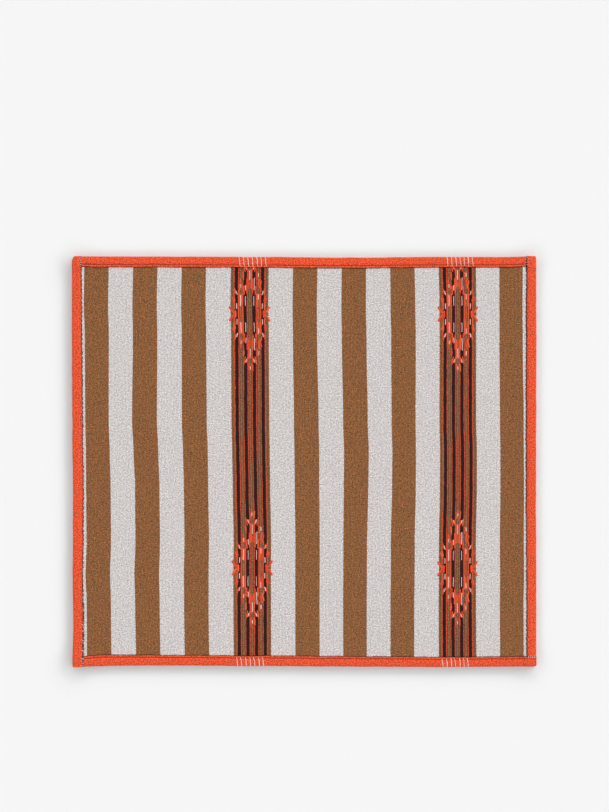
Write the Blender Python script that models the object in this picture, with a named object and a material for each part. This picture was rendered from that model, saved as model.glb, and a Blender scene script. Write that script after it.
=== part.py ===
"""Basotho blanket lying flat: one woven cloth, its four edges turned up on to the face as hems.

Metres. X runs across the stripes, Y along them, and Z up from the surface that the blanket lies on.
The origin is on the underside, at the middle of the outline.
"""

import math
from collections import namedtuple

import bmesh
import bpy

# Driving dimensions
WIDTH = 1.002
LENGTH = 0.886
CLOTH = 0.0030
LAYER_GAP = 0.0005
SIDE_HEM = 0.0195
END_HEM = 0.0210
CLIMB = 0.014
CLIMB_CLEARANCE = 0.001
LAP_CLEARANCE = 0.0004

# Fineness of the mesh
PANEL_CELLS = 20
FOLD_STEPS = 6
CLIMB_STEPS = 3

# A hem lies half_size out from the middle, is run long, and reaches in from the outline. At its low end
# (towards -X or -Y) and its high end it meets a hem whose reach is met_reach. It crosses over that hem
# where the flag says so, and otherwise lies under it. column is its place in DRAW_IN_MM.
Hem = namedtuple("Hem", "half_size run reach met_reach over_at_low over_at_high column")
HEMS = {
    "left": Hem(WIDTH / 2, LENGTH, SIDE_HEM, END_HEM, True, True, 1),
    "right": Hem(WIDTH / 2, LENGTH, SIDE_HEM, END_HEM, False, True, 2),
    "bottom": Hem(LENGTH / 2, WIDTH, END_HEM, SIDE_HEM, False, True, 3),
    "top": Hem(LENGTH / 2, WIDTH, END_HEM, SIDE_HEM, False, False, 4),
}

# How far each edge draws in from the full outline, in millimetres, at shares of its run.
DRAW_IN_MM = (
    # share, left, right, bottom, top
    (0.0, 1.3, 0.6, 0.5, 0.0),
    (0.2, 2.5, 0.2, 3.6, 0.5),
    (0.4, 2.5, 0.8, 2.9, 1.5),
    (0.6, 0.8, 0.4, 1.9, 3.1),
    (0.8, 0.0, 0.0, 0.0, 1.6),
    (1.0, 0.2, 0.7, 1.4, 1.8),
)

# A place along one axis of the cut cloth: a share across the panel, and how far round the hem it is.
# Round is 0 on the panel, 1 where the fold has come over, and 2 at the hem's free edge.
Station = namedtuple("Station", "share round")


def smooth(t):
    t = min(max(t, 0.0), 1.0)
    return t * t * (3 - 2 * t)


def draw_in(hem, share):
    """The edge's draw-in at a share of its run, easing from one row of the table to the next."""
    for low, high in zip(DRAW_IN_MM, DRAW_IN_MM[1:]):
        if share <= high[0]:
            break
    part = smooth((share - low[0]) / (high[0] - low[0]))
    return (low[hem.column] + part * (high[hem.column] - low[hem.column])) / 1000


def plain_bend():
    """Outer radius of a fold whose two layers lie on each other."""
    return CLOTH + LAYER_GAP / 2


def climb_top(met_reach):
    """Distance from the end of a hem at which it is down to the last full height over the hem it meets."""
    return met_reach - plain_bend() + CLIMB_CLEARANCE


def lift(hem, share):
    """Extra height between the panel and a hem, where the hem runs over another one."""
    raised = 0.0
    for over, share_to_end in ((hem.over_at_low, share), (hem.over_at_high, 1 - share)):
        if over:
            past_top = share_to_end * hem.run - climb_top(hem.met_reach)
            raised = max(raised, 1 - smooth(past_top / CLIMB))
    return raised * (CLOTH + LAYER_GAP)


def bend(hem, share):
    """Outer radius of the hem's fold, which takes in the lift."""
    return plain_bend() + lift(hem, share) / 2


def outline(hem, share):
    """Distance from the middle of the blanket to the edge."""
    return hem.half_size - draw_in(hem, share)


def fold_line(hem, share):
    """Distance from the middle of the blanket to the line where the panel starts to turn up."""
    return outline(hem, share) - bend(hem, share)


def turned(hem, share, around, depth):
    """Distance out from the middle, and height, of a point of the hem that lies depth above its reverse."""
    radius = bend(hem, share)
    line = fold_line(hem, share)
    if around <= 1:
        angle = math.pi * around
        return line + (radius - depth) * math.sin(angle), radius - (radius - depth) * math.cos(angle)
    return line - (around - 1) * (hem.reach - radius), 2 * radius - depth


def lap_end(own, crossing, own_share, crossing_share, around):
    """How far past the crossing hem's fold line a hem's end reaches.

    An upper hem grows out to the crossing hem's outline, and a lower one stops just short of the line.
    """
    rise = math.sin(math.pi / 2 * min(around, 1.0))
    is_over = own.over_at_low if own_share == 0 else own.over_at_high
    if is_over:
        return rise * bend(crossing, crossing_share)
    return -rise * LAP_CLEARANCE


def place(across, along, depth):
    """World position of the point of the cut cloth at two stations, depth above its reverse."""
    left, right, bottom, top = (HEMS[name] for name in ("left", "right", "bottom", "top"))
    u, v = across.share, along.share
    low_x, high_x = -fold_line(left, v), fold_line(right, v)
    low_y, high_y = -fold_line(bottom, u), fold_line(top, u)
    x = low_x + u * (high_x - low_x)
    y = low_y + v * (high_y - low_y)
    z = depth
    if across.round:
        side, sign = (left, -1) if u == 0 else (right, 1)
        out, z = turned(side, v, across.round, depth)
        x = sign * out
        if v in (0, 1):
            end, end_sign = (bottom, -1) if v == 0 else (top, 1)
            y += end_sign * lap_end(side, end, v, u, across.round)
    if along.round:
        end, sign = (bottom, -1) if v == 0 else (top, 1)
        out, z = turned(end, u, along.round, depth)
        y = sign * out
        if u in (0, 1):
            side, side_sign = (left, -1) if u == 0 else (right, 1)
            x += side_sign * lap_end(end, side, u, v, along.round)
    return x, y, z


def stations(hem):
    """Stations along a hem: the hem that it meets, its run with finer cells where it climbs, the next hem."""
    fold = [1 - step / FOLD_STEPS for step in range(FOLD_STEPS)]
    top = climb_top(hem.met_reach)
    climb = [(top + CLIMB * step / CLIMB_STEPS) / hem.run for step in range(CLIMB_STEPS + 1)]
    panel = {cell / PANEL_CELLS for cell in range(PANEL_CELLS + 1)}
    panel |= set(climb) | {1 - share for share in climb}
    low = [Station(0, 2)] + [Station(0, around) for around in fold]
    high = [Station(1, around) for around in reversed(fold)] + [Station(1, 2)]
    return low + [Station(share, 0) for share in sorted(panel)] + high


def cut_cloth(across, along):
    """The flat cut: a grid with a vertex at each pair of stations, less the four corner squares."""
    mesh = bmesh.new()
    columns, rows = len(across) - 1, len(along) - 1
    bmesh.ops.create_grid(mesh, x_segments=columns, y_segments=rows, size=1)
    at = mesh.verts.layers.float_vector.new("station")
    for vertex in mesh.verts:
        column, row = round((vertex.co.x + 1) / 2 * columns), round((vertex.co.y + 1) / 2 * rows)
        vertex[at] = (column, row, 0)
    corners = [
        face
        for face in mesh.faces
        if any(across[int(v[at].x)].round for v in face.verts)
        and any(along[int(v[at].y)].round for v in face.verts)
    ]
    bmesh.ops.delete(mesh, geom=corners, context="FACES")
    return mesh, at


def blanket_mesh():
    across = stations(HEMS["bottom"])
    along = stations(HEMS["left"])
    mesh, at = cut_cloth(across, along)
    for face in mesh.faces:
        face.material_index = 1
    grown = bmesh.ops.extrude_face_region(mesh, geom=mesh.faces[:], use_keep_orig=True)
    for item in grown["geom"]:
        if isinstance(item, bmesh.types.BMVert):
            item[at].z = CLOTH
        elif isinstance(item, bmesh.types.BMFace):
            item.material_index = 0
    for vertex in mesh.verts:
        column, row, depth = vertex[at]
        vertex.co = place(across[int(column)], along[int(row)], depth)
    mesh.verts.layers.float_vector.remove(at)
    bmesh.ops.recalc_face_normals(mesh, faces=mesh.faces)
    if mesh.calc_volume(signed=True) < 0:
        bmesh.ops.reverse_faces(mesh, faces=mesh.faces)
    data = bpy.data.meshes.new("blanket")
    mesh.to_mesh(data)
    mesh.free()
    data.shade_smooth()
    data.set_sharp_from_angle(angle=math.radians(50))
    return data


def cloth_material(name, colour):
    material = bpy.data.materials.new(name)
    material.use_nodes = True
    shader = material.node_tree.nodes["Principled BSDF"]
    shader.inputs["Base Color"].default_value = (*colour, 1)
    shader.inputs["Roughness"].default_value = 0.95
    shader.inputs["Metallic"].default_value = 0.0
    return material


for leftover in list(bpy.data.objects):
    bpy.data.objects.remove(leftover)

collection = bpy.data.collections.new("basotho_blanket")
bpy.context.scene.collection.children.link(collection)
blanket = bpy.data.objects.new("blanket", blanket_mesh())
blanket.data.materials.append(cloth_material("striped face", (0.42, 0.30, 0.21)))
blanket.data.materials.append(cloth_material("orange reverse", (0.72, 0.10, 0.04)))
collection.objects.link(blanket)
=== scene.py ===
import itertools
import math
from collections import namedtuple

import bpy
import numpy as np
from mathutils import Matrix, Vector


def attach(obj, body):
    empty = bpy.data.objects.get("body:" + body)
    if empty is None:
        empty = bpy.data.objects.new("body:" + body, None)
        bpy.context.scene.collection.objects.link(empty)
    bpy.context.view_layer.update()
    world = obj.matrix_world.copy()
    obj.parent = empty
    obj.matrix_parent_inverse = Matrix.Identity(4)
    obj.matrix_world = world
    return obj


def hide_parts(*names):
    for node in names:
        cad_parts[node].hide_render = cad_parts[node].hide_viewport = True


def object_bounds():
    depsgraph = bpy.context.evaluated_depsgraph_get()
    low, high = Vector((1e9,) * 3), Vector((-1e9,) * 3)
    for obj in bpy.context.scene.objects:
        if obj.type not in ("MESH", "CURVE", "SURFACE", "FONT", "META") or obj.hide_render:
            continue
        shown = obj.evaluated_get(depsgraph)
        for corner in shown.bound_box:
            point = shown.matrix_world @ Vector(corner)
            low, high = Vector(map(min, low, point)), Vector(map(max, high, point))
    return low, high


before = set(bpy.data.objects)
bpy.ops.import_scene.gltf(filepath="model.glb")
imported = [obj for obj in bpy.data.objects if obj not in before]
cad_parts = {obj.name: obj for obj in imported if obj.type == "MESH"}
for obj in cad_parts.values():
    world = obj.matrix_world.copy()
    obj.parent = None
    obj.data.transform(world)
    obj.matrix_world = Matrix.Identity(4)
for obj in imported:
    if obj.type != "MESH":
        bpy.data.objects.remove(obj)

cad_low, cad_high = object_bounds()

# The camera. It looks straight down on the blanket, which lies below the middle of a tall frame.
# The lens is long, so the outline shows with next to no perspective.
width = cad_high.x - cad_low.x
length = cad_high.y - cad_low.y
frame_high_px = 812
outline_wide_px = 465.3
right_of_middle_px = 0.35
above_middle_px = 55.8
metre_per_px = width / outline_wide_px
camera_lens_mm = 85
camera_sensor_mm = 36


def in_scene(name, data):
    """A new object of the scene."""
    made = bpy.data.objects.new(name, data)
    bpy.context.scene.collection.objects.link(made)
    return made


camera = in_scene("camera", bpy.data.cameras.new("camera"))
bpy.context.scene.camera = camera
camera.data.lens = camera_lens_mm
camera.data.sensor_width = camera_sensor_mm
camera_height = frame_high_px * metre_per_px * camera_lens_mm / camera_sensor_mm
camera.location = (
    right_of_middle_px * metre_per_px,
    above_middle_px * metre_per_px,
    cad_high.z + camera_height,
)

# The blanket cloth. One double-woven wool cloth: ivory and brown stripes and two pattern bands on its
# face, orange on its reverse. All four edges are turned up on to the face, so the hems show the reverse.
# At three corners the side hem laps over the end hem, and at the lower right the end hem is on top.
cloth = 0.0030
layer_gap = 0.0005
side_hem = 0.0195
end_hem = 0.0210
climb = 0.014
climb_clearance = 0.001
lap_clearance = 0.0004

Hem = namedtuple("Hem", "half_size run reach met_reach over_at_low over_at_high column")
hems = {
    "left": Hem(width / 2, length, side_hem, end_hem, True, True, 1),
    "right": Hem(width / 2, length, side_hem, end_hem, False, True, 2),
    "bottom": Hem(length / 2, width, end_hem, side_hem, False, True, 3),
    "top": Hem(length / 2, width, end_hem, side_hem, False, False, 4),
}

# How far each edge draws in from the full outline, in millimetres, at shares of its run.
draw_in_mm = np.array(
    (
        # share, left, right, bottom, top
        (0.0, 1.3, 0.6, 0.5, 0.0),
        (0.1, 3.1, 0.4, 3.1, 0.2),
        (0.2, 1.8, 0.2, 3.4, 0.5),
        (0.4, 2.5, 0.8, 2.2, 1.2),
        (0.6, 0.8, 0.4, 0.9, 2.6),
        (0.8, 0.0, 0.0, 0.0, 1.1),
        (0.93, 0.1, 0.5, 1.0, 1.5),
        (1.0, 0.2, 0.7, 1.4, 0.0),
    )
)

# How much wider than its plain width each hem lies, in millimetres, at shares of its run.
extra_reach_mm = np.array(
    (
        # share, left, right, bottom, top
        (0.00, 2.0, 0.0, 0.0, 0.0),
        (0.05, 1.6, 0.2, 2.6, 1.2),
        (0.10, 1.0, 0.3, 1.8, 1.2),
        (0.18, 1.2, 0.5, 0.8, 0.9),
        (0.30, 1.8, 0.8, 0.4, 1.0),
        (0.50, 2.2, 1.0, 0.6, 1.2),
        (0.70, 1.8, 1.5, 0.2, 1.0),
        (0.85, 1.0, 1.3, -0.1, 0.7),
        (1.00, 0.0, 0.0, 0.0, 0.0),
    )
)

# How far the stripes lean to the right of their straight places, in millimetres, up the blanket.
sway_columns = (-0.473, -0.368, -0.211, -0.105, 0.026, 0.131, 0.236, 0.368, 0.473)
sway_mm = np.array(
    (
        # share up, then one lean for each of sway_columns
        (0.00, 4.3, 5.3, 6.2, 7.4, 7.2, 4.3, 1.7, 3.6, 0.9),
        (0.15, 3.9, 3.5, 4.8, 7.2, 7.0, 4.0, 1.8, 2.6, 0.4),
        (0.22, 1.4, 1.9, 4.8, 6.7, 7.2, 4.5, 2.6, 2.7, 1.6),
        (0.30, 3.5, 4.1, 5.8, 7.2, 7.4, 4.8, 2.8, 2.4, 1.0),
        (0.44, 2.5, 3.2, 4.0, 5.0, 6.3, 7.5, 5.1, 4.4, 1.3),
        (0.52, 1.9, 0.1, 3.1, 3.5, 6.4, 8.6, 5.4, 4.6, 1.1),
        (0.60, 0.7, -3.2, 0.8, 2.8, 4.9, 6.2, 4.6, 2.9, 0.7),
        (0.81, -0.4, -1.4, -0.4, 2.4, 1.7, 3.6, 5.1, 2.9, -1.4),
        (0.88, -2.5, -2.4, -1.8, 1.2, 1.2, 2.3, 4.0, 3.3, -1.9),
        (1.00, -1.4, -0.7, -0.7, 1.9, 2.4, 2.7, 2.2, 2.4, -1.2),
    )
)


def eased(t):
    t = np.clip(t, 0, 1)
    return t * t * (3 - 2 * t)


def eased_rows(table, column, share):
    """A column of a table at a share given in its first column, easing from row to row."""
    rows, values = table[:, 0], table[:, column]
    row = np.clip(np.searchsorted(rows, share, side="right") - 1, 0, len(rows) - 2)
    part = eased((share - rows[row]) / (rows[row + 1] - rows[row]))
    return values[row] + part * (values[row + 1] - values[row])


def wander(place, period, seed):
    """A smooth, never quite repeating wave between -1 and 1."""
    turn = 2 * math.pi * np.asarray(place) / period
    return (np.sin(turn + seed) + np.sin(0.618 * turn + 2.3 * seed) + np.sin(1.731 * turn + 4.1 * seed)) / 3


plain_bend = cloth + layer_gap / 2


def lift(hem, share):
    """Extra height between the panel and a hem, where the hem runs over another one."""
    raised = 0.0 * share
    for over, share_to_end in ((hem.over_at_low, share), (hem.over_at_high, 1 - share)):
        if over:
            past_top = share_to_end * hem.run - (hem.met_reach - plain_bend + climb_clearance)
            raised = np.maximum(raised, 1 - eased(past_top / climb))
    return raised * (cloth + layer_gap)


def bend(hem, share):
    """Outer radius of the hem's fold."""
    return plain_bend + lift(hem, share) / 2


edge_wobble = 0.0005
edge_wave = 0.085


def fold_line(hem, share):
    """Distance from the middle of the blanket to the line where the panel starts to turn up."""
    wobble = edge_wobble * (0.4 + wander(share * hem.run, edge_wave, hem.column)) * np.sin(math.pi * share)
    return hem.half_size - eased_rows(draw_in_mm, hem.column, share) / 1000 - wobble - bend(hem, share)


# The end hems are sewn down along a seam near their free edge, which sinks into the wool. The side hems
# are caught down at their very edge, which the sewing draws into shallow scallops.
row_cell = length / round(length / 0.0033)
column_cell = 0.0094
seam_inset = 0.0042
seam_depth = 0.0014
seam_half_width = 0.0014
seam_press = 0.0003
hem_puff = 0.0008
puff_wave = 0.11
edge_uneven = 0.0004
end_edge_wave = 0.05
side_edge_wave = 0.031
scallop = 0.0015
scallop_pitch = 3 * row_cell
scallop_wave = 0.07
caught_drop = 0.0005
caught_width = 0.0015


def flap_reach(hem, share):
    """How far a hem lies flat on the panel, from where its fold has come over to its free edge."""
    return hem.reach - bend(hem, share) + eased_rows(extra_reach_mm, hem.column, share) / 1000


def turned(hem, share, around, depth):
    """Distance out from the middle, and height, of a point of a hem.

    around is 0 at the fold line, 1 where the fold has come over and 2 at the free edge.
    """
    radius = bend(hem, share)
    line = fold_line(hem, share)
    place = share * hem.run
    angle = math.pi * np.minimum(around, 1)
    arc_out = line + (radius - depth) * np.sin(angle)
    arc_high = radius - (radius - depth) * np.cos(angle)
    over = np.clip(around - 1, 0, 1)
    reach = flap_reach(hem, share)
    to_edge = (1 - over) * reach
    on_top = 1 - depth / cloth
    high = hem_puff * np.sin(math.pi * over) * (0.8 + 0.5 * wander(place, puff_wave, hem.column))
    if hem.reach == end_hem:
        groove = np.exp(-(((to_edge - seam_inset) / seam_half_width) ** 2))
        high -= groove * (seam_press + seam_depth * on_top)
        edge = edge_uneven * wander(place, end_edge_wave, 3 + hem.column)
    else:
        high -= np.exp(-to_edge / caught_width) * caught_drop * on_top
        caught = np.abs(np.sin(math.pi * place / scallop_pitch)) - 0.6
        edge = scallop * caught * (1 + 0.6 * wander(place, scallop_wave, hem.column))
        edge = edge + edge_uneven * wander(place, side_edge_wave, 7 + hem.column)
    out = arc_out - over * (reach + edge)
    return out, arc_high + np.where(over > 0, high, 0)


def lap_end(own, crossing, at_high, crossing_share, around):
    """How far a hem's end reaches past the fold line of the hem that it meets."""
    rise = np.sin(math.pi / 2 * np.minimum(around, 1))
    is_over = own.over_at_high if at_high else own.over_at_low
    return rise * bend(crossing, crossing_share) if is_over else -rise * lap_clearance


def on_panel(u, v):
    """Where a point of the panel lies. The yarns between two columns of the sway table lean with both."""
    half = width / 2 - plain_bend
    across = (2 * u - 1) * half
    knots = np.array((-half, *sway_columns, half))
    leans = [half - fold_line(hems["left"], v)]
    leans += [eased_rows(sway_mm, column, v) / 1000 for column in range(1, sway_mm.shape[1])]
    leans += [fold_line(hems["right"], v) - half]
    leans = np.stack(leans)
    knot = np.clip(np.searchsorted(knots, across, side="right") - 1, 0, len(knots) - 2)[None]
    before, after = (np.take_along_axis(leans, knot + step, axis=0)[0] for step in (0, 1))
    part = (across - knots[knot[0]]) / (knots[knot[0] + 1] - knots[knot[0]])
    low_y, high_y = -fold_line(hems["bottom"], u), fold_line(hems["top"], u)
    return across + before + part * (after - before), low_y + v * (high_y - low_y)


swell_high = 0.0004
swell_uneven = 0.00025
swell_waves = (0.21, 0.17)
pucker_wave = 0.045
pucker_reach = 0.018
swell_fade = 0.01


def swell(u, v):
    """Height of the panel's gentle unevenness above the floor."""
    x, y = u * width, v * length
    broad = wander(x + 0.4 * y, swell_waves[0], 1.0) * wander(y - 0.3 * x, swell_waves[1], 2.0)
    to_end = np.minimum(v, 1 - v) * length
    pucker = wander(x, pucker_wave, 5.0) * np.exp(-to_end / pucker_reach)
    fade = eased(np.minimum(np.minimum(u, 1 - u) * width, to_end) / swell_fade)
    return (swell_high + swell_uneven * broad + swell_uneven * pucker) * fade


# How far across and along the blanket each corner's rounding reaches. The upper left one is the softest.
Corner = namedtuple("Corner", "side sign_x end sign_y across along")
corners = (
    Corner("left", -1, "bottom", -1, 0.0030, 0.0040),
    Corner("left", -1, "top", 1, 0.0075, 0.0145),
    Corner("right", 1, "bottom", -1, 0.0040, 0.0045),
    Corner("right", 1, "top", 1, 0.0030, 0.0035),
)


def rounded(x, y):
    """Eases the four outer corners in from square to round."""
    x, y = x.copy(), y.copy()
    for corner in corners:
        side, end = hems[corner.side], hems[corner.end]
        edge_x = side.half_size - eased_rows(draw_in_mm, side.column, max(corner.sign_y, 0)) / 1000
        edge_y = end.half_size - eased_rows(draw_in_mm, end.column, max(corner.sign_x, 0)) / 1000
        a = np.minimum(1 - (edge_x - corner.sign_x * x) / corner.across, 1)
        b = np.minimum(1 - (edge_y - corner.sign_y * y) / corner.along, 1)
        near = (a > 0) & (b > 0)
        a, b = a[near], b[near]
        x[near] = corner.sign_x * (edge_x - corner.across * (1 - a * np.sqrt(1 - b * b / 2)))
        y[near] = corner.sign_y * (edge_y - corner.along * (1 - b * np.sqrt(1 - a * a / 2)))
    return x, y


def place(u, v, across_round, along_round, depth):
    """World position of a point of the cloth. depth is its height above the reverse."""
    u, v, across_round, along_round, depth = np.broadcast_arrays(u, v, across_round, along_round, depth)
    x, y = on_panel(u, v)
    z = depth + swell(u, v)
    for names, others, rounds, own_share, other_share, moved, run in (
        (("left", "right"), ("bottom", "top"), across_round, u, v, x, y),
        (("bottom", "top"), ("left", "right"), along_round, v, u, y, x),
    ):
        for high_side, name in enumerate(names):
            on_hem = (rounds > 0) & (own_share == high_side)
            out, high = turned(hems[name], other_share, rounds, depth)
            moved[on_hem] = (out if high_side else -out)[on_hem]
            z[on_hem] = high[on_hem]
            for at_high, other in enumerate(others):
                at_end = on_hem & (other_share == at_high)
                past = lap_end(hems[name], hems[other], at_high, own_share, rounds)
                run[at_end] += (past if at_high else -past)[at_end]
    x, y = rounded(x, y)
    return np.stack((x, y, z), axis=-1)


climb_rows = 5
fold_rows = 9


def stations(run, met_reach, cell, flap_insets, flap):
    """Shares across the panel, and rounds on the two hems, for the rows or columns of the mesh."""
    top = (met_reach - plain_bend + climb_clearance) / run
    climb_shares = top + np.linspace(0, climb / run, climb_rows)
    panel = np.linspace(0, 1, round(run / cell) + 1)
    inner = panel[(panel > climb_shares[-1]) & (panel < 1 - climb_shares[-1])]
    hem_part = np.linspace(0, top, climb_rows)[:-1]
    shares = np.concatenate((hem_part, climb_shares, inner, 1 - climb_shares[::-1], 1 - hem_part[::-1]))
    rounds = np.concatenate((np.linspace(0, 1, fold_rows)[1:], 2 - np.array(flap_insets) / flap))
    share = np.concatenate((np.zeros(len(rounds)), shares, np.ones(len(rounds))))
    around = np.concatenate((rounds[::-1], np.zeros(len(shares)), rounds))
    return share, around


# How wide the painted shade in the crease under a hem's free edge is, in millimetres: share, left, right,
# bottom, top.
crease_shade_mm = np.array(
    (
        (0.00, 4.6, 2.4, 2.0, 2.0),
        (0.14, 4.6, 2.4, 2.0, 2.0),
        (0.22, 2.4, 2.4, 2.0, 2.0),
        (0.60, 2.4, 2.8, 2.0, 2.0),
        (1.00, 2.4, 3.0, 2.0, 2.0),
    )
)
far = 9.0


def to_shaded_creases(u, v, across_round, along_round, x, y, depth):
    """How far a point lies from the free edges of the side hems, of the end hems, and from the seams.

    Each is a share of the width of the painted shade line there. The underside of the panel has no such
    line.
    """
    underneath = (across_round == 0) & (along_round == 0) & (depth == 0)
    gaps = []
    for names, crossing, share, place_on, own_round, other_round in (
        (("left", "right"), ("bottom", "top"), v, x, across_round, along_round),
        (("bottom", "top"), ("left", "right"), u, y, along_round, across_round),
    ):
        from_edge = []
        for at_high_end, name in enumerate(names):
            hem = hems[name]
            edge = turned(hem, share, 2.0, cloth)[0]
            gap = edge - place_on if at_high_end else edge + place_on
            gap = gap / (eased_rows(crease_shade_mm, hem.column, share) / 1000)
            for at_high, crossed in enumerate(crossing):
                is_over = hems[crossed].over_at_high if at_high_end else hems[crossed].over_at_low
                if is_over:
                    gap[(other_round > 0) & (share == at_high)] = far
            from_edge.append(gap)
        nearest = np.minimum(*from_edge)
        nearest[(own_round > 0) | underneath] = far
        gaps.append(nearest)
    from_seam = np.full(gaps[0].shape, far)
    for at_high, name in enumerate(("bottom", "top")):
        on_flap = (along_round > 1) & (v == at_high)
        to_edge = (2 - along_round) * flap_reach(hems[name], u)
        from_seam[on_flap] = ((to_edge - seam_inset) / seam_half_width)[on_flap]
    return np.stack((*gaps, from_seam), axis=-1)


side_flap = side_hem - plain_bend
end_flap = end_hem - plain_bend
side_insets = (0.0130, 0.0100, 0.0070, 0.0045, 0.0028, 0.0014, 0.0)
end_insets = (0.0150, 0.0115, 0.0085, 0.0064, 0.0053, 0.0042, 0.0031, 0.0020, 0.0010, 0.0)
across_share, across_round = stations(width, end_hem, column_cell, side_insets, side_flap)
along_share, along_round = stations(length, end_hem, row_cell, end_insets, end_flap)


def cut_metres(share, around, run, flap):
    """Distance from the middle over the cloth's outer surface, for shares and rounds along one axis."""
    fold_long = math.pi * plain_bend
    past = np.minimum(around, 1) * fold_long + np.maximum(around - 1, 0) * flap
    return (2 * share - 1) * (run / 2 - plain_bend) + np.where(share < 0.5, -past, past)


sharp_degrees = 60


def blanket_mesh():
    """The cloth as one closed sheet: a reverse, a face, and the rim along its cut edge."""
    real = ~((along_round[:, None] > 0) & (across_round[None, :] > 0))
    number = np.cumsum(real.ravel()).reshape(real.shape) - 1
    count = int(real.sum())
    points, cuts, gaps = [], [], []
    across = cut_metres(across_share, across_round, width, side_flap)
    along = cut_metres(along_share, along_round, length, end_flap)
    stations_of = np.broadcast_arrays(
        across_share[None, :], along_share[:, None], across_round[None, :], along_round[:, None]
    )
    for depth in (0.0, cloth):
        grid = place(*stations_of, depth)
        points.append(grid[real])
        cut = np.stack(np.broadcast_arrays(across[None, :], along[:, None], depth), axis=-1)
        cuts.append(cut[real])
        gaps.append(to_shaded_creases(*stations_of, grid[..., 0], grid[..., 1], depth)[real])
    whole = real[:-1, :-1] & real[:-1, 1:] & real[1:, 1:] & real[1:, :-1]
    around_cell = (number[:-1, :-1], number[:-1, 1:], number[1:, 1:], number[1:, :-1])
    face = np.stack([vertex[whole] for vertex in around_cell], axis=-1)
    edges = np.concatenate([face[:, [a, (a + 1) % 4]] for a in range(4)])
    sorted_edges = np.sort(edges, axis=1)
    _, first, times = np.unique(sorted_edges, axis=0, return_index=True, return_counts=True)
    rim = edges[first[times == 1]]
    rims = np.stack((rim[:, 0], rim[:, 1], rim[:, 1] + count, rim[:, 0] + count), axis=-1)
    faces = np.concatenate((face[:, ::-1], face + count, rims))
    mesh = bpy.data.meshes.new("blanket_cloth")
    mesh.from_pydata(np.concatenate(points).tolist(), [], faces.tolist())
    on_reverse = np.concatenate((np.ones(len(face)), np.zeros(len(face)), np.ones(len(rims)))).astype(int)
    mesh.polygons.foreach_set("material_index", on_reverse)
    for name, values in (("cut", cuts), ("to_crease_shade", gaps)):
        attribute = mesh.attributes.new(name, "FLOAT_VECTOR", "POINT")
        attribute.data.foreach_set("vector", np.concatenate(values).astype(np.float32).ravel())
    mesh.shade_smooth()
    mesh.set_sharp_from_angle(angle=math.radians(sharp_degrees))
    mesh.update()
    return mesh


# The weave. Warp yarns run up the blanket and show as rows of short, plump floats. A broad stripe is 17
# yarns wide and a pattern band 26. In a band, black, tan and brown stripes of about two yarns lie between
# single orange ones. Wool fibres and a few orange flecks mottle the ivory and the brown.
yarn = 0.00308
pick = 0.0028
stripe_yarns = 17
band_yarns = 26
first_band_yarn = 102
second_band_yarn = 247
pattern_yarns = 307


def tone(red, green, blue):
    """A colour given as seen on a screen, 0 to 255, as the renderer's linear colour."""
    def linear(value):
        value /= 255
        return value / 12.92 if value <= 0.04045 else ((value + 0.055) / 1.055) ** 2.4
    return (linear(red), linear(green), linear(blue), 1)


class Value:
    """A number, colour or shape in a node tree. Arithmetic on it adds Math nodes to that tree."""

    def __init__(self, socket):
        self.socket = socket
        self.tree = socket.id_data

    def math(self, operation, *others):
        return value_of(self.tree, "ShaderNodeMath", dict(enumerate((self, *others))), operation=operation)

    def __add__(self, other):
        return self.math("ADD", other)

    def __sub__(self, other):
        return self.math("SUBTRACT", other)

    def __rsub__(self, other):
        return self.math("MULTIPLY_ADD", -1.0, other)

    def __mul__(self, other):
        return self.math("MULTIPLY", other)

    def __truediv__(self, other):
        return self.math("DIVIDE", other)

    def __pow__(self, other):
        return self.math("POWER", other)

    def __gt__(self, other):
        return self.math("GREATER_THAN", other)

    def __lt__(self, other):
        return self.math("LESS_THAN", other)

    def __abs__(self):
        return self.math("ABSOLUTE")


def add(tree, kind, inputs=None, **settings):
    """A node with its settings made and its inputs linked or set."""
    node = tree.nodes.new(kind)
    for name, setting in settings.items():
        setattr(node, name, setting)
    for name, given in (inputs or {}).items():
        if isinstance(given, Value):
            tree.links.new(given.socket, node.inputs[name])
        else:
            node.inputs[name].default_value = given
    return node


def value_of(tree, kind, inputs=None, output=0, **settings):
    """One output of a new node."""
    return Value(add(tree, kind, inputs, **settings).outputs[output])


def vector(tree, x=0.0, y=0.0, z=0.0):
    return value_of(tree, "ShaderNodeCombineXYZ", {"X": x, "Y": y, "Z": z})


def parts_of(whole, kind="XYZ"):
    """The three numbers of a vector, or of a colour where the kind is Color."""
    node = add(whole.tree, "ShaderNodeSeparate" + kind, {0: whole})
    return [Value(socket) for socket in node.outputs]


def attribute(tree, name, output):
    return value_of(tree, "ShaderNodeAttribute", output=output, attribute_name=name)


def noise(where, scale, detail, output=0, roughness=0.5):
    inputs = {"Vector": where, "Scale": scale, "Detail": detail, "Roughness": roughness}
    return value_of(where.tree, "ShaderNodeTexNoise", inputs, output)


def spread(share, contrast):
    """A share of 0 to 1 as a value on both sides of 0."""
    return share * contrast - contrast / 2


def between(given, low, high, new_low, new_high, easing="LINEAR"):
    """A value carried from one range to another, and held at its ends."""
    inputs = dict(enumerate((given, low, high, new_low, new_high)))
    return value_of(given.tree, "ShaderNodeMapRange", inputs, interpolation_type=easing)


def mixed(tree, share, first, second, blend="MIX"):
    """The colour from a Mix node, whose factor, A and B colours are its sockets 0, 6 and 7."""
    inputs = {0: share, 6: first, 7: second}
    return value_of(tree, "ShaderNodeMix", inputs, 2, data_type="RGBA", blend_type=blend)


def shaded(colour, shade):
    grey = value_of(colour.tree, "ShaderNodeCombineColor", {0: shade, 1: shade, 2: shade})
    return mixed(colour.tree, 1.0, colour, grey, "MULTIPLY")


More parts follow.
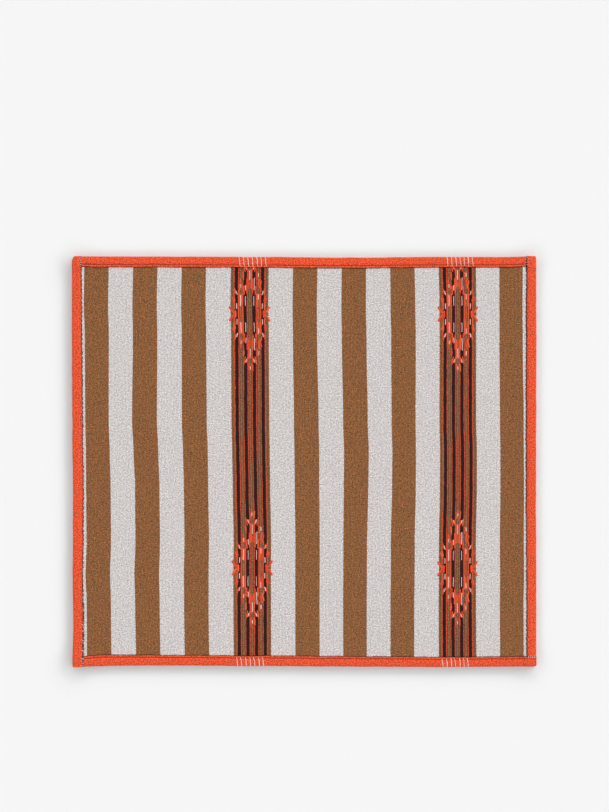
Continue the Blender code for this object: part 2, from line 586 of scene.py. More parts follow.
def new_group(name, kind, inputs, outputs, output_type="NodeSocketFloat"):
    """A node group, its inputs, and the function that gives it its results.

    An input is given by its default, or by its socket type.
    """
    tree = bpy.data.node_groups.new(name, kind)
    for socket, default in inputs.items():
        given_type = isinstance(default, str)
        plain = "NodeSocketInt" if isinstance(default, int) else "NodeSocketFloat"
        made = tree.interface.new_socket(
            name=socket, in_out="INPUT", socket_type=default if given_type else plain
        )
        if not given_type:
            made.default_value = default
    for socket in outputs:
        tree.interface.new_socket(name=socket, in_out="OUTPUT", socket_type=output_type)
    start, end = tree.nodes.new("NodeGroupInput"), tree.nodes.new("NodeGroupOutput")

    def give(*results):
        for socket, result in zip(outputs, results):
            tree.links.new(result.socket, end.inputs[socket])
        return tree

    return tree, {socket: Value(start.outputs[socket]) for socket in inputs}, give


def used(tree, group, inputs):
    """The results of a node group placed in a material, by their names."""
    node = add(tree, "ShaderNodeGroup", inputs, node_tree=group)
    return {socket.name: Value(socket) for socket in node.outputs}


fibre_grain = 1300.0
cloud_grain = 400.0
row_stagger = 0.5
row_scatter = 0.3
gap_shade = 0.71
float_shade = 0.40
Contrast = namedtuple("Contrast", "fibres clouds own")
shade_contrast = Contrast(0.7, 2.7, 0.16)
tint_contrast = Contrast(1.0, 2.2, 0.4)


def weave_group():
    """Plump warp floats: their height, their shading down to the gaps, and random values for each."""
    inputs = {"Across": 0.0, "Along": 0.0, "Yarn": yarn, "Pick": pick, "Seed": 0.0}
    outputs = ("Height", "Shade", "Random", "Tint")
    tree, given, give = new_group("wool weave", "ShaderNodeTree", inputs, outputs)
    across, along, seed = given["Across"], given["Along"], given["Seed"]
    column = across / given["Yarn"]
    number = column.math("FLOOR")
    own_start = value_of(tree, "ShaderNodeTexWhiteNoise", {"W": number + seed}, noise_dimensions="1D")
    row = along / given["Pick"] + (number * row_stagger + own_start * row_scatter)
    own = add(tree, "ShaderNodeTexWhiteNoise", {"Vector": vector(tree, number, row.math("FLOOR"), seed)})
    own_shade = Value(own.outputs["Value"])
    own_tint = parts_of(Value(own.outputs["Color"]), "Color")[1]
    from_side = abs(spread(column.math("FRACT"), 2.0)) ** 2.0
    from_end = abs(spread(row.math("FRACT"), 2.0)) ** 3.0
    plump = (1.0 - (from_side + from_end)).math("MAXIMUM", 0.0).math("SQRT")
    fibres = noise(vector(tree, across, along * 0.35, seed), fibre_grain, 3.0, roughness=0.6)
    cloudy = parts_of(noise(vector(tree, across, along, seed), cloud_grain, 1.0, "Color"), "Color")
    shade = plump * float_shade + gap_shade + spread(fibres, shade_contrast.fibres)
    shade = shade + spread(cloudy[0], shade_contrast.clouds) + spread(own_shade, shade_contrast.own)
    tint = spread(own_tint, tint_contrast.own) + 0.5 + spread(cloudy[1], tint_contrast.clouds)
    tint = tint + spread(fibres, tint_contrast.fibres)
    return give(fibres * 0.4 + plump, shade, own_shade, tint)


def stripe_group():
    """Where a point lies in the stripes: on brown or not, in a band or not, and how far across it."""
    outputs = ("Brown", "Band", "Band Place")
    tree, given, give = new_group("stripe layout", "ShaderNodeTree", {"Yarn Number": 0.0}, outputs)
    number = given["Yarn Number"]
    bands_passed = (number > first_band_yarn + band_yarns) + (number > second_band_yarn + band_yarns)
    even = number - bands_passed * (band_yarns - stripe_yarns)
    on_brown = (even / (2 * stripe_yarns)).math("FRACT") < 0.5
    in_stripes = (number > 0.0) * (number < pattern_yarns)
    bands, places = [], []
    for first in (first_band_yarn, second_band_yarn):
        share = (number - first) / band_yarns
        bands.append((share > 0.0) * (share < 1.0))
        places.append(bands[-1] * share)
    return give(on_brown * in_stripes, bands[0] + bands[1], places[0] + places[1])


weave = weave_group()
stripes = stripe_group()


def wool(name):
    """A matt, softly sheened wool material, with its node tree and its shader."""
    material = bpy.data.materials.new(name)
    material.use_nodes = True
    tree = material.node_tree
    shader = tree.nodes["Principled BSDF"]
    finish = {"Roughness": 0.92, "Specular IOR Level": 0.15, "Sheen Weight": 0.10, "Sheen Roughness": 0.6}
    for socket, amount in finish.items():
        shader.inputs[socket].default_value = amount
    return material, tree, shader


def finish_wool(shader, colour, height, distance):
    """Gives the wool its colour, and the relief of its yarns."""
    inputs = {"Height": height, "Strength": 0.8, "Distance": distance}
    relief = value_of(colour.tree, "ShaderNodeBump", inputs)
    colour.tree.links.new(colour.socket, shader.inputs["Base Color"])
    colour.tree.links.new(relief.socket, shader.inputs["Normal"])


# The painted shade of creases and seams: the grain and range of its patches, how dark a seam gets, and where
# it is darkest.
patch_grain = 170.0
patches_from, patches_to = 0.32, 0.50
palest_patch = 0.40
seam_shade = 0.45
darkest_within = 0.4


def crease_shade_group():
    """Painted shade in the crease under a hem's free edge and in a seam, in uneven patches: how dark it
    makes the wool.
    """
    inputs = {"To Side": far, "To End": far, "To Seam": far, "Across": 0.0, "Along": 0.0}
    tree, given, give = new_group("hem crease shade", "ShaderNodeTree", inputs, ("Dark",))
    patches = noise(vector(tree, given["Across"], given["Along"]), patch_grain, 2.0)
    patches = between(patches, patches_from, patches_to, palest_patch, 1.0)
    at_side, at_end, at_seam = (
        between(abs(given[name]), darkest_within, 1.0, 1.0, 0.0, "SMOOTHSTEP")
        for name in ("To Side", "To End", "To Seam")
    )
    line = at_side.math("MAXIMUM", at_end).math("MAXIMUM", at_seam * seam_shade)
    return give((line * patches + at_side * at_end).math("MINIMUM", 1.0))


crease = crease_shade_group()


def crease_shaded(colour, across, along, strength):
    """The colour with painted shade along the free edges of the hems and along the seams."""
    to_side, to_end, to_seam = parts_of(attribute(colour.tree, "to_crease_shade", "Vector"))
    inputs = {"To Side": to_side, "To End": to_end, "To Seam": to_seam, "Across": across, "Along": along}
    return shaded(colour, 1.0 - used(colour.tree, crease, inputs)["Dark"] * strength)


def stripes_at(across, along, unevenness, grain, stretch):
    """The stripe layout at a place, its edges uneven by a share of a yarn, as a noise of that grain."""
    uneven = noise(vector(across.tree, across, along * stretch), grain, 1.0)
    number = across / yarn + pattern_yarns / 2 + spread(uneven, 2 * unevenness)
    return used(across.tree, stripes, {"Yarn Number": number})


ivory = tone(234, 227, 224)
ivory_grey = tone(212, 206, 206)
brown = tone(170, 108, 62)
brown_olive = tone(124, 88, 56)
band_tones = {
    "brown": tone(150, 94, 54),
    "tan": tone(144, 106, 64),
    "olive": tone(98, 78, 54),
    "black": tone(31, 26, 26),
    "orange": tone(226, 68, 36),
}
edge_stripe = (("brown", 1.0), ("olive", 0.40), ("tan", 0.70))
orange_line = (("orange", 0.64),)
black_stripe = (("black", 2.31),)
tan_stripe = (("olive", 0.65), ("tan", 1.10), ("olive", 0.65))
fleck_share = 0.002
fleck_strength = 0.2
ivory_contrast = 0.6
yarns_past_edge = 20


def band_stripes():
    """The band's stripes from left to right, as pairs of a tone's name and a width in yarns."""
    layout = list(edge_stripe)
    for stripe in (*(black_stripe, tan_stripe) * 3, black_stripe):
        layout += [*orange_line, *stripe]
    return layout + [*orange_line, *reversed(edge_stripe)]


def face_material():
    material, tree, shader = wool("striped wool face")
    across, along, _ = parts_of(attribute(tree, "cut", "Vector"))
    from_side = across + yarn * (pattern_yarns / 2 + yarns_past_edge)
    knit = used(tree, weave, {"Across": from_side, "Along": along, "Seed": 3.0})
    layout = stripes_at(across, along, unevenness=0.45, grain=380.0, stretch=1.0)
    heather = mixed(tree, knit["Tint"], ivory_grey, ivory)
    rust = mixed(tree, knit["Tint"], brown_olive, brown)
    ground = mixed(tree, layout["Brown"], heather, rust)
    ground = mixed(tree, (knit["Random"] > 1 - fleck_share) * fleck_strength, ground, band_tones["orange"])
    in_band = stripes_at(across, along, unevenness=0.35, grain=240.0, stretch=0.2)
    ramp = add(tree, "ShaderNodeValToRGB", {0: in_band["Band Place"]})
    ramp.color_ramp.interpolation = "CONSTANT"
    elements = ramp.color_ramp.elements
    start = 0.0
    for step, (name, wide) in enumerate(band_stripes()):
        element = elements[0] if step == 0 else elements.new(min(start / band_yarns, 0.999))
        element.color = band_tones[name]
        start += wide
    elements.remove(elements[-1])
    colour = mixed(tree, layout["Band"], ground, Value(ramp.outputs[0]))
    dyed = layout["Brown"].math("MAXIMUM", layout["Band"])
    contrast = dyed * (1 - ivory_contrast) + ivory_contrast
    colour = shaded(colour, (knit["Shade"] - 1.0) * contrast + 1.0)
    # Painted shade darkens the panel in the crease along each hem's free edge, most where two hems meet.
    finish_wool(shader, crease_shaded(colour, across, along, strength=0.95), knit["Height"], distance=0.0007)
    return material


orange = tone(255, 100, 60)
orange_deep = tone(238, 80, 44)
blotch_grain = 600.0
blotch_contrast = 2.4
back_float_half = 0.13
seven_floats_half = 3.4
rim_shade_wide = 0.0013
rim_shade = 0.55
depth_shade = 0.7


def reverse_material():
    """Orange wool. On the back of each band, ivory pattern yarns lie on it in long floats."""
    material, tree, shader = wool("orange wool reverse")
    cut = attribute(tree, "cut", "Vector")
    across, along, depth = parts_of(cut)
    knit = used(tree, weave, {"Across": across, "Along": along, "Seed": 11.0})
    layout = stripes_at(across, along, unevenness=0.3, grain=240.0, stretch=0.3)
    blotches = spread(noise(cut, blotch_grain, 2.0), blotch_contrast) + 0.5
    ground = mixed(tree, blotches, orange_deep, orange)
    every_third = layout["Band Place"] * (band_yarns / 3) - band_yarns / 6
    on_float = abs(every_third - every_third.math("ROUND")) < back_float_half
    of_seven = abs(every_third) < seven_floats_half
    in_panel = abs(along) < length / 2 - plain_bend
    on_back = on_float * of_seven * in_panel * layout["Band"]
    colour = shaded(mixed(tree, on_back, ground, ivory), knit["Shade"])
    # Painted shade darkens the seam grooves of the end hems.
    colour = crease_shaded(colour, across, along, strength=0.9)
    # Painted shade darkens the side hems' reverse in a narrow strip along their cut free edge.
    from_cut = (cut_metres(1, 2, width, side_flap) - abs(across)) / rim_shade_wide
    rim = used(tree, crease, {"To Side": from_cut, "Across": across, "Along": along})["Dark"]
    colour = shaded(colour, 1.0 - rim * rim_shade)
    # Painted shade darkens the rim of the cut edge from the reverse down to the face, where the hem lies on
    # the panel.
    colour = shaded(colour, 1.0 - depth * (depth_shade / cloth))
    finish_wool(shader, colour, knit["Height"], distance=0.0006)
    return material


blanket = in_scene("blanket_cloth", blanket_mesh())
blanket.data.materials.append(face_material())
blanket.data.materials.append(reverse_material())
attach(blanket, "root")
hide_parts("blanket")

# The lozenges. Orange and ivory pattern yarn floats on the face and draws two stepped lozenges in each
# band, over the band's own stripes. Each float is one soft yarn that rises from the cloth, lies on it for
# a centimetre or more, and goes back in. The top lozenges run on under the hem.
lozenge_up = (-0.2308, 0.3194)
band_middles = [
    (first + band_yarns / 2 - pattern_yarns / 2) * yarn for first in (first_band_yarn, second_band_yarn)
]

# Each float in millimetres from the lozenge's middle, with its width. All but the waist floats, which
# cross the middle, are repeated below it, and those for both sides are mirrored left to right.
Float = namedtuple("Float", "x_low low x_high high wide side")
ivory_floats = (
    Float(-0.3, 112, 0.4, 121, 1.7, "middle"),
    Float(0, 73, 0, 96, 1.5, "middle"),
    Float(7.0, 96, 10.2, 106, 1.6, "both"),
    Float(8.7, 50, 8.7, 64, 1.5, "left"),
    Float(9.0, 51, 9.8, 80, 1.5, "right"),
    Float(8.9, 17, 8.9, 40, 1.2, "both"),
    Float(18.9, 56, 18.9, 66, 1.5, "left"),
    Float(18.4, 79, 18.4, 90, 1.7, "right"),
    Float(18.9, 16, 18.9, 42, 1.5, "left"),
    Float(18.2, 30, 18.4, 44, 1.5, "right"),
    Float(25.8, 40, 28.8, 51, 1.6, "both"),
    Float(27.0, 10, 27.0, 24, 1.6, "both"),
)
orange_floats = (
    Float(3.2, 106, 4.6, 124, 2.4, "both"),
    Float(5.2, 108, 5.8, 125, 2.0, "right"),
    Float(1.6, 119, 0.6, 127, 2.0, "left"),
    Float(3.4, 54, 3.4, 98, 2.6, "both"),
    Float(4.6, 92, 8.0, 106, 2.4, "both"),
    Float(9.8, 91, 13.6, 110, 2.4, "both"),
    Float(1.0, 58, 0.7, 70, 1.4, "both"),
    Float(6.0, 44, 6.2, 78, 2.6, "both"),
    Float(11.6, 41, 11.9, 62, 2.4, "both"),
    Float(12.8, 74, 15.2, 84, 2.9, "left"),
    Float(13.4, 79, 14.6, 92, 4.0, "left"),
    Float(14.6, 74, 15.2, 92, 2.4, "right"),
    Float(20.4, 54, 24.2, 73, 3.7, "right"),
    Float(17.4, 60, 20.8, 78, 2.6, "right"),
    Float(24.6, 48, 22.6, 60, 2.6, "right"),
    Float(22.6, 44, 21.6, 66, 2.2, "left"),
    Float(16.0, 53, 16.4, 66, 2.2, "left"),
    Float(19.8, 65, 20.4, 76, 2.2, "left"),
    Float(20.9, 16, 20.9, 44, 1.9, "both"),
    Float(16.9, 18, 16.9, 44, 1.7, "both"),
    Float(23.2, 14, 22.8, 46, 2.9, "both"),
    Float(14.8, 14, 14.6, 46, 2.9, "both"),
    Float(28.8, 42, 32.2, 56, 2.6, "both"),
    Float(32.0, 22, 36.2, 36, 3.3, "both"),
    Float(30.6, 26, 33.2, 40, 2.8, "both"),
    Float(31.8, 8, 31.2, 26, 2.4, "both"),
    Float(35.4, 2.6, 43.2, 16.6, 4.4, "both"),
    Float(31.4, 2.0, 37.0, 5.0, 3.3, "both"),
)
waist_floats = (
    Float(30.0, -9, 29.6, 8, 4.3, "both"),
    Float(23.2, -16, 23.2, 16, 2.6, "both"),
    Float(18.8, -13, 18.5, 13, 0.8, "both"),
    Float(14.6, -16, 14.6, 16, 2.4, "both"),
)

random = np.random.default_rng(7)
Path = namedtuple("Path", "points thickness")
panel_wide = width - 2 * plain_bend
panel_long = length - 2 * plain_bend


def on_face(across, along, rise):
    """World points on the blanket's face, for metres across and along from its middle."""
    return place(across / panel_wide + 0.5, along / panel_long + 0.5, 0.0, 0.0, cloth + rise)


def path_of(points, thick):
    """A path of one thickness."""
    return Path(points, np.full(len(points), thick))


def yarn_along(points, thick, unevenness):
    """A path of one thickness, which differs from yarn to yarn by up to a share of it."""
    return path_of(points, thick * random.uniform(1 - unevenness, 1 + unevenness))


float_rise = 0.00015
end_sink = 0.0006
float_wander_mm = 0.35
float_wave_mm = 17


def sunk(part):
    """How deep a float lies at a part of its length: both its ends go down into the cloth."""
    return end_sink * np.abs(2 * part - 1) ** 8


def float_path(middle, up, x_low, low, x_high, high, wide):
    """One float's line on the face."""
    part = np.linspace(0, 1, max(5, int(abs(high - low) / 2)))
    up_mm = part * (high - low)
    sideways = x_low + part * (x_high - x_low)
    sideways = sideways + float_wander_mm * wander(up_mm, float_wave_mm, random.uniform(0, 6))
    points = on_face(middle + sideways / 1000, up + (low + up_mm) / 1000, float_rise - sunk(part))
    return yarn_along(points, wide / 1000, 0.08)


shortest_float_mm = 3
hem_clearance = 0.0005


def lozenge_paths(chart):
    """Every float of a chart, in all four lozenges, as far as the top hem leaves them in sight."""
    hem_edge_mm = (length / 2 - end_hem - hem_clearance) * 1000
    paths = []
    sides_of = {"left": (-1,), "right": (1,), "both": (-1, 1), "middle": (1,)}
    for middle, up, line in itertools.product(band_middles, lozenge_up, chart):
        most = hem_edge_mm - up * 1000
        for side, way in itertools.product(sides_of[line.side], (-1, 1) if line.low > 0 else (1,)):
            ends = ((way * line.low, side * line.x_low), (way * line.high, side * line.x_high))
            (low, x_low), (high, x_high) = sorted(ends)
            if low > most - shortest_float_mm:
                continue
            if high > most:
                x_high += (x_low - x_high) * (high - most) / (high - low)
                high = most
            paths.append(float_path(middle, up, x_low, low, x_high, high, line.wide))
    return paths


def path_mesh(name, paths):
    """A mesh of loose edges, one chain for each path, with its thickness and a tone of its own."""
    mesh = bpy.data.meshes.new(name)
    points = np.concatenate([path.points for path in paths])
    edges, start = [], 0
    for path in paths:
        edges += [(start + step, start + step + 1) for step in range(len(path.points) - 1)]
        start += len(path.points)
    mesh.from_pydata(points.tolist(), edges, [])
    tones = np.concatenate([np.full(len(path.points), random.random()) for path in paths])
    for attribute, values in (("thickness", np.concatenate([p.thickness for p in paths])), ("tone", tones)):
        mesh.attributes.new(attribute, "FLOAT", "POINT").data.foreach_set("value", values.astype(np.float32))
    return mesh


def finished_shape(shape, material):
    """A shape made smooth and real, with its material, as every tree here ends."""
    smooth = value_of(shape.tree, "GeometryNodeSetShadeSmooth", {"Geometry": shape})
    real = value_of(shape.tree, "GeometryNodeRealizeInstances", {"Geometry": smooth})
    return value_of(shape.tree, "GeometryNodeSetMaterial", {"Geometry": real, "Material": material})


tip_radius = 0.12


def laid_yarn_tree():
    """Yarn along each path: a flattened round section that closes in at both ends."""
    inputs = {
        "Paths": "NodeSocketGeometry", "Flatness": 0.5, "Step": 0.0012, "Tip": 0.002,
        "Material": "NodeSocketMaterial",
    }
    tree, given, give = new_group("laid yarn", "GeometryNodeTree", inputs, ("Yarn",), "NodeSocketGeometry")

    def with_attribute(curve, name, stored):
        inputs = {"Geometry": curve, "Name": name, "Value": stored}
        return value_of(tree, "GeometryNodeStoreNamedAttribute", inputs, data_type="FLOAT", domain="POINT")

    curve = value_of(tree, "GeometryNodeMeshToCurve", {"Mesh": given["Paths"]})
    inputs = {"Curve": curve, "Length": given["Step"]}
    curve = value_of(tree, "GeometryNodeResampleCurve", inputs, mode="LENGTH")
    curve = value_of(tree, "GeometryNodeSetCurveNormal", {"Curve": curve}, mode="Z_UP")
    along = value_of(tree, "GeometryNodeSplineParameter", output="Length")
    to_end = along.math("MINIMUM", value_of(tree, "GeometryNodeSplineLength", output="Length") - along)
    closing = (to_end / given["Tip"]).math("MINIMUM", 1.0).math("SQRT")
    thickness = value_of(tree, "GeometryNodeInputNamedAttribute", {"Name": "thickness"}, data_type="FLOAT")
    radius = thickness * (closing * (0.5 - tip_radius) + tip_radius)
    curve = with_attribute(curve, "along", along)
    ring = value_of(tree, "GeometryNodeCurvePrimitiveCircle", {"Resolution": 8, "Radius": 1.0})
    ring = with_attribute(ring, "around", value_of(tree, "GeometryNodeSplineParameter", output="Factor"))
    squash = vector(tree, 1.0, given["Flatness"], 1.0)
    ring = value_of(tree, "GeometryNodeTransform", {"Geometry": ring, "Scale": squash})
    inputs = {"Curve": curve, "Profile Curve": ring, "Scale": radius, "Fill Caps": True}
    tube = value_of(tree, "GeometryNodeCurveToMesh", inputs)
    return give(finished_shape(tube, given["Material"]))


def made_by(tree, name, paths, material, **settings):
    """The piece that a tree makes along paths, as a plain mesh with no modifier left."""
    source = path_mesh(name, paths)
    settings["Material"] = material
    made = in_scene(name, source)
    modifier = made.modifiers.new("nodes", "NODES")
    modifier.node_group = tree
    for item in tree.interface.items_tree:
        if item.in_out == "INPUT" and item.name in settings:
            modifier[item.identifier] = settings[item.name]
    graph = bpy.context.evaluated_depsgraph_get()
    mesh = bpy.data.meshes.new_from_object(
        made.evaluated_get(graph), preserve_all_data_layers=True, depsgraph=graph
    )
    made.modifiers.remove(modifier)
    mesh.materials.clear()
    mesh.materials.append(material)
    mesh.polygons.foreach_set("material_index", np.zeros(len(mesh.polygons), dtype=np.int32))
    made.data = mesh
    mesh.name = name
    bpy.data.meshes.remove(source)
    return made


along_grain, turn_grain, own_grain = 300.0, 6.0, 50.0
ply_shade, fibre_shade = 0.2, 0.3
ply_gap_shade = 0.72


def twist_group():
    """The ply and fibres of a spun yarn, which wind round it."""
    inputs = {"Along": 0.0, "Around": 0.0, "Twist": 0.004, "Seed": 0.0}
    tree, given, give = new_group("yarn twist", "ShaderNodeTree", inputs, ("Height", "Shade"))
    turn = given["Along"] / given["Twist"] + given["Around"]
    ply = abs((turn * (2 * math.pi)).math("SINE"))
    where = vector(tree, given["Along"] * along_grain, turn * turn_grain, given["Seed"] * own_grain)
    fibres = noise(where, 1.5, 2.0)
    return give(fibres * 0.6 + ply, ply * ply_shade + ply_gap_shade + fibres * fibre_shade)


twist = twist_group()


def yarn_material(name, dark, light):
    """A spun yarn between two tones, each length of it with a tone of its own."""
    material, tree, shader = wool(name)
    along, around, own = (attribute(tree, given, "Fac") for given in ("along", "around", "tone"))
    spun = used(tree, twist, {"Along": along, "Around": around, "Seed": own})
    colour = shaded(mixed(tree, own, dark, light), spun["Shade"])
    finish_wool(shader, colour, spun["Height"], distance=0.0002)
    return material


laid_yarn = laid_yarn_tree()
orange_yarn = yarn_material("orange pattern yarn", tone(236, 68, 32), tone(254, 98, 54))
ivory_yarn = yarn_material("ivory pattern yarn", tone(234, 202, 194), tone(255, 238, 232))
pieces_on_cloth = []
for name, chart, material in (
    ("lozenge_yarn_orange", orange_floats + waist_floats, orange_yarn),
    ("lozenge_yarn_ivory", ivory_floats, ivory_yarn),
):
    piece = made_by(laid_yarn, name, lozenge_paths(chart), material, Flatness=0.45)
    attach(piece, "root")
    pieces_on_cloth.append(piece)

# The pattern yarns across the hems. Where the cloth turns up over each band, its seven ivory pattern yarns
# come round the fold and cross the hem in two loose floats each, and end at its free edge.
tick_offset_mm = {"top": 4.5, "bottom": -3.4}
tick_pitch_mm = (9.30, 8.95)
ticks_each_side = 3
tick_wide = 0.0015
tick_lean = (0.0012, 0.0026)
tick_uneven = 0.0004
tick_wave = 1.4
tick_run = 0.9
tick_points = 14
# Each float's start and end round the hem, and the share of the yarn's lean that it starts with.
tick_floats = ((0.45, 1.55, 0.0), (1.48, 1.93, 0.7))


def tick_paths():
    """The ivory yarns on both end hems, each a pair of floats that lean a little to one side."""
    paths = []
    for end, (middle, pitch) in itertools.product(("bottom", "top"), zip(band_middles, tick_pitch_mm)):
        at_top = end == "top"
        for column in range(-ticks_each_side, ticks_each_side + 1):
            x = middle + (column * pitch + tick_offset_mm[end]) / 1000
            lean = (1 if at_top else -1) * random.uniform(*tick_lean)
            for start, stop, begin in tick_floats:
                around = np.linspace(start, stop, tick_points)
                part = (around - start) / (stop - start)
                sideways = lean * (begin + part * tick_run)
                sideways = sideways + tick_uneven * wander(part, tick_wave, random.uniform(0, 6))
                u = (x + sideways) / panel_wide + 0.5
                points = place(u, float(at_top), 0.0, around, sunk(part) - float_rise)
                paths.append(yarn_along(points, tick_wide, 0.15))
    return paths


ticks = made_by(laid_yarn, "hem_pattern_yarn", tick_paths(), ivory_yarn, Flatness=0.5)
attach(ticks, "root")
pieces_on_cloth.append(ticks)

# The seams of the end hems. A row of red thread stitches runs along each end hem near its free edge,
# pulled tight so that it lies in a groove of the wool.
seam_pitch = 0.0050
seam_stitch = 0.0040
seam_thread = 0.0016
seam_points = 300
thread_rise = 0.0002
thread_grain = 3500.0
stitch_tone_grain = 300.0


def seam_path(end):
    """The line of the groove on an end hem, from one side hem to the other."""
    u = np.linspace(side_hem / width, 1 - side_hem / width, seam_points)
    around = 2 - seam_inset / flap_reach(hems[end], u)
    return path_of(place(u, float(end == "top"), 0.0, around, -thread_rise), seam_thread)


def stitch_row_tree():
    """Short stitches along a path, each a little uneven in its length and lean."""
    inputs = {
        "Paths": "NodeSocketGeometry", "Pitch": 0.005, "Stitch": 0.0035, "Thread": 0.0009,
        "Unevenness": 0.15, "Seed": 5, "Material": "NodeSocketMaterial",
    }
    kind = "GeometryNodeTree"
    tree, given, give = new_group("row of stitches", kind, inputs, ("Stitches",), "NodeSocketGeometry")
    curve = value_of(tree, "GeometryNodeMeshToCurve", {"Mesh": given["Paths"]})
    inputs = {"Curve": curve, "Length": given["Pitch"]}
    dots = add(tree, "GeometryNodeCurveToPoints", inputs, mode="LENGTH").outputs
    inputs = {"Vector": Value(dots["Tangent"])}
    turned_along = value_of(tree, "FunctionNodeAlignRotationToVector", inputs, axis="X")
    uneven = given["Unevenness"]
    lean, scale = (
        value_of(tree, "FunctionNodeRandomValue", {2: least, 3: most, "Seed": given["Seed"]}, 1)
        for least, most in ((uneven * -1.0, uneven), (1.0 - uneven, 1.0))
    )
    inputs = {"Rotation": turned_along, "Rotate By": vector(tree, z=lean)}
    leaning = value_of(tree, "FunctionNodeRotateRotation", inputs, rotation_space="LOCAL")
    bean = value_of(tree, "GeometryNodeMeshUVSphere", {"Segments": 8, "Rings": 5, "Radius": 0.5})
    size = vector(tree, given["Stitch"], given["Thread"], given["Thread"])
    bean = value_of(tree, "GeometryNodeTransform", {"Geometry": bean, "Scale": size})
    inputs = {"Points": Value(dots["Points"]), "Instance": bean, "Rotation": leaning, "Scale": scale}
    placed = value_of(tree, "GeometryNodeInstanceOnPoints", inputs)
    return give(finished_shape(placed, given["Material"]))


def thread_material(name, dark, light):
    """Sewing thread between two tones that change from stitch to stitch."""
    material, tree, shader = wool(name)
    shader.inputs["Roughness"].default_value = 0.7
    where = value_of(tree, "ShaderNodeTexCoord", output="Object")
    fibres = noise(where, thread_grain, 1.0)
    colour = mixed(tree, noise(where, stitch_tone_grain, 1.0), dark, light)
    finish_wool(shader, shaded(colour, spread(fibres, 0.5) + 1.0), fibres, distance=0.0001)
    return material


stitch_row = stitch_row_tree()
# These tones are partly the thread's own red and partly painted shade of the groove it lies in.
red_thread = thread_material("red sewing thread", tone(92, 16, 10), tone(170, 40, 26))
seams = made_by(
    stitch_row, "end_hem_seams", [seam_path("bottom"), seam_path("top")], red_thread,
    Pitch=seam_pitch, Stitch=seam_stitch, Thread=seam_thread,
)
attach(seams, "root")
pieces_on_cloth.append(seams)

# The sewing of the side hems. Single orange stitches come up through the hem near its free edge and go
# down just beyond it, one in each notch of the scallops.
catch_thread = 0.0011
catch_long = 0.0026
catch_points = 6
catch_lean = (0.0008, 0.0022)
catch_uneven = (0.8, 1.1)
# The parts of its lean by which a stitch starts and ends before its notch.
catch_before = (-1.0, -0.375)
notches_left_out = 3
# Past the free edge, the stitch's next three points: how far inwards, how far on, and how far below it.
catch_dive = ((0.0002, 0.0003, 0.0012), (0.0006, 0.0006, 0.0030), (0.0015, 0.0010, 0.0038))


def catch_paths():
    """One slanting stitch over the free edge at each notch of a side hem."""
    paths = []
    around = np.linspace(2 - catch_long / side_flap, 2, catch_points)
    notches = int(length / scallop_pitch) + 1
    for side in (-1, 1):
        for notch in range(notches_left_out, notches - notches_left_out):
            lean = random.uniform(*catch_lean) / length * np.linspace(*catch_before, catch_points)
            v = notch * scallop_pitch / length + lean
            upper = place(float(side > 0), v, around, 0.0, -thread_rise)
            down = upper[-1] + np.array([(-side * inwards, on, -below) for inwards, on, below in catch_dive])
            points = np.concatenate((upper, down))
            paths.append(path_of(points, catch_thread * random.uniform(*catch_uneven)))
    return paths


orange_thread = yarn_material("orange sewing thread", tone(196, 52, 32), tone(232, 80, 50))
catches = made_by(
    laid_yarn, "side_hem_stitches", catch_paths(), orange_thread, Flatness=0.8, Step=0.0011, Tip=0.0005
)
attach(catches, "root")
pieces_on_cloth.append(catches)

# The corner tacking. White thread catches the free edge of the upper hem to the lower one at each
# corner, and four dark tucks are sewn into the top hem beside the upper left one.
tack_thread = 0.0010
tack_count = 4
tack_insets = (0.0035, 0.0180)
left_catches = (-0.3547, -0.3674, -0.3888, -0.4107)
# A tacking stitch's four points: how far past the free edge, how far aside and how high each lies.
tack_line = (
    (-0.0018, -0.0010, 0.0000),
    (-0.0006, -0.0004, 0.0008),
    (0.0006, 0.0002, -0.0008),
    (0.0022, 0.0010, -0.0032),
)


def white_stitches(edges, away, aside):
    """Stitches that lean by turns over a free edge. away points from the hem to its panel."""
    up = Vector((0, 0, 1))
    paths = []
    for number, edge in enumerate(map(Vector, edges)):
        way = 1 if number % 2 else -1
        line = [edge + away * out + way * aside * lean + up * high for out, lean, high in tack_line]
        paths.append(yarn_along(np.array(line), tack_thread, 0.2))
    return paths


def tack_paths():
    """White stitches along the upper hem's free edge at each corner, and a few more up the left hem."""
    inset = np.linspace(*tack_insets, tack_count)
    up_share = (inset - plain_bend) / panel_long
    across_share = (inset - plain_bend) / panel_wide
    left_shares = np.array(left_catches) / length + 0.5
    across, along = Vector((1, 0, 0)), Vector((0, 1, 0))
    paths = []
    for u, v, away in (
        (0.0, up_share, across),
        (0.0, 1 - up_share, across),
        (1.0, 1 - up_share, -across),
        (0.0, left_shares, across),
    ):
        paths += white_stitches(place(u, v, 2.0, 0.0, 0.0), away, along)
    on_end_hem = place(1 - across_share, 0.0, 0.0, 2.0, 0.0)
    return paths + white_stitches(on_end_hem, along, across)


tucks_mm = ((-468.5, -1.7), (-464, 0.9), (-459, 1.2), (-450, -0.9))
tuck_middle, tuck_half = 1.66, 0.09
tuck_thread = 0.0015
tuck_depth = 0.0002
tuck_points = 7


def tuck_paths():
    """Short dark stitches in the top hem near the upper left corner, each with its place and its lean."""
    paths = []
    part = np.linspace(-1, 1, tuck_points)
    around = tuck_middle + tuck_half * part
    for x_mm, lean_mm in tucks_mm:
        u = (x_mm + lean_mm * part) / 1000 / panel_wide + 0.5
        points = place(u, 1.0, 0.0, around, tuck_depth + end_sink * part**4)
        paths.append(path_of(points, tuck_thread))
    return paths


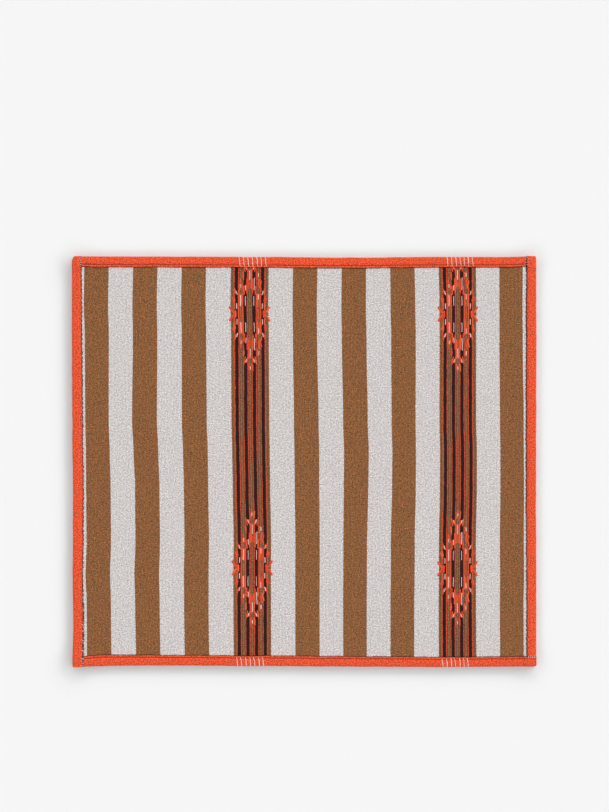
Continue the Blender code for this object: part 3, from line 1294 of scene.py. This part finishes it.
white_thread = yarn_material("white tacking thread", tone(236, 222, 216), tone(250, 246, 242))
dark_thread = yarn_material("dark tuck thread", tone(92, 26, 18), tone(118, 34, 24))
for name, paths, material in (
    ("corner_tacking", tack_paths(), white_thread),
    ("corner_tucks", tuck_paths(), dark_thread),
):
    piece = made_by(laid_yarn, name, paths, material, Flatness=0.8, Step=0.0005, Tip=0.0005)
    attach(piece, "root")
    pieces_on_cloth.append(piece)

# The blanket as cut. Flat, before its hems were turned up, it was a rectangle without its four corners.
fold_and_flap = math.pi * (plain_bend - cloth / 2) - plain_bend
cut_wide = width + 2 * (fold_and_flap + side_flap)
cut_long = length + 2 * (fold_and_flap + end_flap)
corner_squares = (cut_wide - width + 2 * plain_bend) * (cut_long - length + 2 * plain_bend)
cut_wide * cut_long - corner_squares

# The floor and the light. A plain pale floor under a pale sky. Two soft lamps from the upper right light
# the cloth. A ring of low ones lights the floor alone, so that the edges throw a wide, soft shadow on it.
floor_half = 8.0
floor_mesh = bpy.data.meshes.new("floor")
floor_corners = [(x * floor_half, y * floor_half, 0.0) for x, y in ((-1, -1), (1, -1), (1, 1), (-1, 1))]
floor_mesh.from_pydata(floor_corners, [], [(0, 1, 2, 3)])
floor = in_scene("floor", floor_mesh)
floor_material = bpy.data.materials.new("pale floor")
floor_material.use_nodes = True
floor_shader = floor_material.node_tree.nodes["Principled BSDF"]
floor_shader.inputs["Base Color"].default_value = tone(246, 246, 246)
floor_shader.inputs["Roughness"].default_value = 1.0
floor_shader.inputs["Specular IOR Level"].default_value = 0.0
floor_mesh.materials.append(floor_material)

sky_light = 0.25
seen_sky_light = 0.92
key_azimuth = 45
ring_light = 0.0600
ring_key_light = 0.1080
ring_count = 16
ring_elevation = 17
ring_dip = 5.5
ring_softness = 14
lamp_away = 3
world = bpy.data.worlds.new("pale sky")
bpy.context.scene.world = world
world.use_nodes = True
sky = world.node_tree
seen = value_of(sky, "ShaderNodeLightPath", output="Is Camera Ray")
strength = seen * (seen_sky_light - sky_light) + sky_light
sky.nodes["Background"].inputs["Color"].default_value = (1, 1, 1, 1)
sky.links.new(strength.socket, sky.nodes["Background"].inputs["Strength"])

Lamp = namedtuple("Lamp", "name light azimuth elevation angle lights")
cloth_pieces = [blanket, *pieces_on_cloth]
lamps = [
    Lamp("cloth lamp", 0.36, key_azimuth, 50, 30, cloth_pieces),
    Lamp("cloth fill", 0.37, key_azimuth, 80, 100, cloth_pieces),
]
for step in range(ring_count):
    turn = 360 / ring_count * step
    towards_key = max(math.cos(math.radians(turn)), 0)
    light = (ring_light + ring_key_light * towards_key) / 2
    elevation = ring_elevation - ring_dip * towards_key
    azimuth = key_azimuth + turn
    lamps.append(Lamp(f"floor lamp {step + 1}", light, azimuth, elevation, ring_softness, [floor]))
for lamp in lamps:
    elevation, azimuth = math.radians(lamp.elevation), math.radians(lamp.azimuth)
    data = bpy.data.lights.new(lamp.name, "SUN")
    data.energy = lamp.light * math.pi / math.sin(elevation)
    data.angle = math.radians(lamp.angle)
    light = in_scene(lamp.name, data)
    flat = math.cos(elevation)
    towards = Vector((flat * math.cos(azimuth), flat * math.sin(azimuth), math.sin(elevation)))
    light.location = towards * lamp_away
    light.rotation_euler = towards.to_track_quat("Z", "Y").to_euler()
    lit = bpy.data.collections.new(lamp.name)
    for piece in lamp.lights:
        lit.objects.link(piece)
    light.light_linking.receiver_collection = lit

bpy.context.scene.view_settings.view_transform = "Standard"
